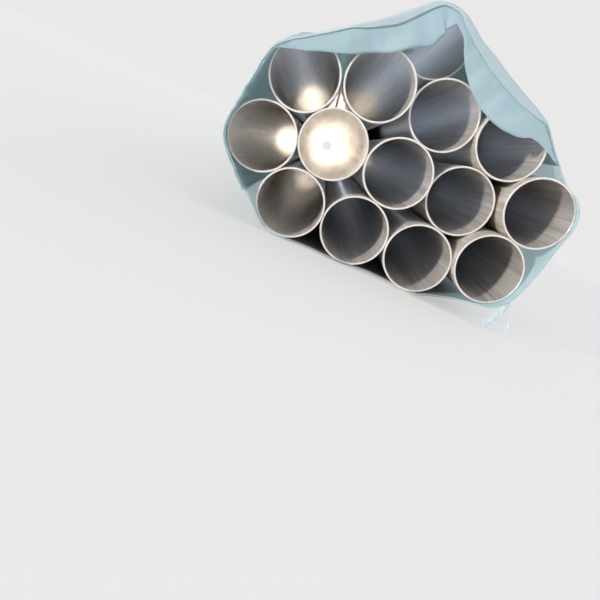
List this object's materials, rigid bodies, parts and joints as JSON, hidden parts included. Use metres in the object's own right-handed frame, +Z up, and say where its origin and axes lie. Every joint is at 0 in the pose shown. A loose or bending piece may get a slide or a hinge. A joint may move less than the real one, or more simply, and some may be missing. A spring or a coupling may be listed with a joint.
{
  "type": "bundle of steel pipes",
  "caption": "Strapped bundle of long thin-walled stainless steel pipes, wrapped in woven plastic sheet that is open at both ends.",
  "frame": {"origin": "on the floor, under the middle of the bundle's box", "axes": "+Z up, pipes along Y with the pictured mouths facing -Y"},
  "size_m": [0.5718, 6.11, 0.4402],
  "materials": {
    "pipe_steel": "pickled stainless steel, matt and warm grey",
    "woven_sheet": "woven plastic tape sheet, pale blue-green, slightly see-through",
    "strap_steel": "flat steel strapping, dull zinc grey",
    "seal_steel": "pressed steel strap seals"
  },
  "bodies": {
    "root": {"pipe_1_1": "pipe_steel", "pipe_1_2": "pipe_steel", "pipe_1_3": "pipe_steel", "pipe_1_4": "pipe_steel", "pipe_2_1": "pipe_steel", "pipe_2_2": "pipe_steel", "pipe_2_3": "pipe_steel", "pipe_2_4": "pipe_steel", "pipe_2_5": "pipe_steel", "pipe_3_1": "pipe_steel", "pipe_3_2": "pipe_steel", "pipe_3_3": "pipe_steel", "pipe_3_4": "pipe_steel", "pipe_4_1": "pipe_steel", "wrap": "woven_sheet", "strap_1": "strap_steel", "strap_2": "strap_steel", "strap_3": "strap_steel", "strap_4": "strap_steel", "seal_1": "seal_steel", "seal_2": "seal_steel", "seal_3": "seal_steel", "seal_4": "seal_steel"}
  },
  "joints": []
}
